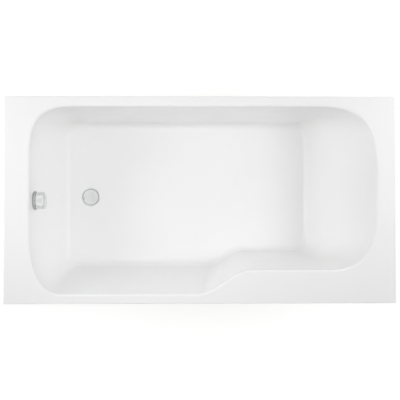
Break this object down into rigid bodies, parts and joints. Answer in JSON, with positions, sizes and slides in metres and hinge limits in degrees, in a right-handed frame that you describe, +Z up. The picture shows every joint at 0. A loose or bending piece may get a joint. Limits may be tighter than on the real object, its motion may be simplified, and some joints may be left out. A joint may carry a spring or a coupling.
{
  "type": "bathtub",
  "caption": "Built-in acrylic bath-shower tub, wide at the waste end, on adjustable feet, with turning overflow knob, pop-up plug, ribbed overflow hose and trap.",
  "frame": {"origin": "on the room's floor under the centre of the rim's rectangle", "axes": "+X along the tub from the waste end to the backrest, +Y to the wall behind the tub, +Z up"},
  "size_m": [1.7, 0.9, 0.6],
  "materials": {
    "acrylic": "glossy white acrylic, resin-coated glass fibre beneath",
    "chrome": "polished",
    "board": "chipboard and softwood, resin-sealed",
    "galvanised": "zinc-plated sheet",
    "steel": "zinc-plated",
    "pad_plastic": "moulded black",
    "rubber": "matt black",
    "white_plastic": "moulded white",
    "grey_plastic": "moulded grey",
    "cable_plastic": "extruded black"
  },
  "bodies": {
    "tub": {"tub_shell": "acrylic", "overflow_rosette": "chrome", "waste_flange": "chrome", "base_board": "board", "rim_batten_back": "board", "rim_batten_front": "board", "rim_board_left": "board", "rim_board_right": "board", "rim_board_front": "board", "cross_bar_left": "galvanised", "cross_bar_right": "galvanised", "centre_bracket": "galvanised", "wall_bracket_back_1": "galvanised", "wall_bracket_back_2": "galvanised", "wall_bracket_left": "galvanised", "bar_screws": "steel", "weld_nuts": "steel", "lock_nuts": "steel", "overflow_screws": "steel", "waste_top_seal": "rubber", "waste_gasket": "rubber", "overflow_ring_seal": "rubber", "overflow_gasket": "rubber", "spindle_seal": "rubber", "trap_seal": "rubber", "trap_cap_seal": "rubber", "outlet_seal": "rubber", "trap_body": "white_plastic", "trap_cap": "white_plastic", "trap_nut": "white_plastic", "outlet_nut": "white_plastic", "outlet_pipe": "white_plastic", "overflow_hose": "white_plastic", "hose_nut_top": "white_plastic", "hose_nut_bottom": "white_plastic", "waste_body": "grey_plastic", "overflow_body": "grey_plastic", "cable_clip": "grey_plastic", "cable_gland": "grey_plastic", "cable_sleeve": "cable_plastic", "cable_ferrule": "cable_plastic"},
    "knob": {"overflow_knob": "chrome", "knob_spindle": "steel", "cable_cam": "grey_plastic", "spindle_clip": "steel", "knob_screw": "steel"},
    "plug": {"plug_cap": "chrome", "plug_seal": "rubber", "plug_stem": "grey_plastic", "lift_pin": "steel"},
    "foot_1": {"foot_rod_1": "steel", "foot_pad_1": "pad_plastic"},
    "foot_2": {"foot_rod_2": "steel", "foot_pad_2": "pad_plastic"},
    "foot_3": {"foot_rod_3": "steel", "foot_pad_3": "pad_plastic"},
    "foot_4": {"foot_rod_4": "steel", "foot_pad_4": "pad_plastic"},
    "foot_5": {"foot_rod_5": "steel", "foot_pad_5": "pad_plastic"}
  },
  "joints": [
    {"name": "knob_turn", "type": "hinge", "parent": "tub", "child": "knob", "pos_m": [-0.70422, -0.002, 0.512], "axis": [1, 0, 0], "range_deg": [0, 90]},
    {"name": "plug_lift", "type": "slide", "parent": "tub", "child": "plug", "axis": [0, 0, 1], "range_m": [0, 0.012]},
    {"name": "foot_1_adjust", "type": "slide", "parent": "tub", "child": "foot_1", "axis": [0, 0, -1], "range_m": [-0.025, 0.025]},
    {"name": "foot_2_adjust", "type": "slide", "parent": "tub", "child": "foot_2", "axis": [0, 0, -1], "range_m": [-0.025, 0.025]},
    {"name": "foot_3_adjust", "type": "slide", "parent": "tub", "child": "foot_3", "axis": [0, 0, -1], "range_m": [-0.025, 0.025]},
    {"name": "foot_4_adjust", "type": "slide", "parent": "tub", "child": "foot_4", "axis": [0, 0, -1], "range_m": [-0.025, 0.025]},
    {"name": "foot_5_adjust", "type": "slide", "parent": "tub", "child": "foot_5", "axis": [0, 0, -1], "range_m": [-0.01, 0.01]}
  ],
  "couplings": [
    {"joint": "plug_lift", "follows": "knob_turn", "m_per_rad": 0.007639}
  ]
}
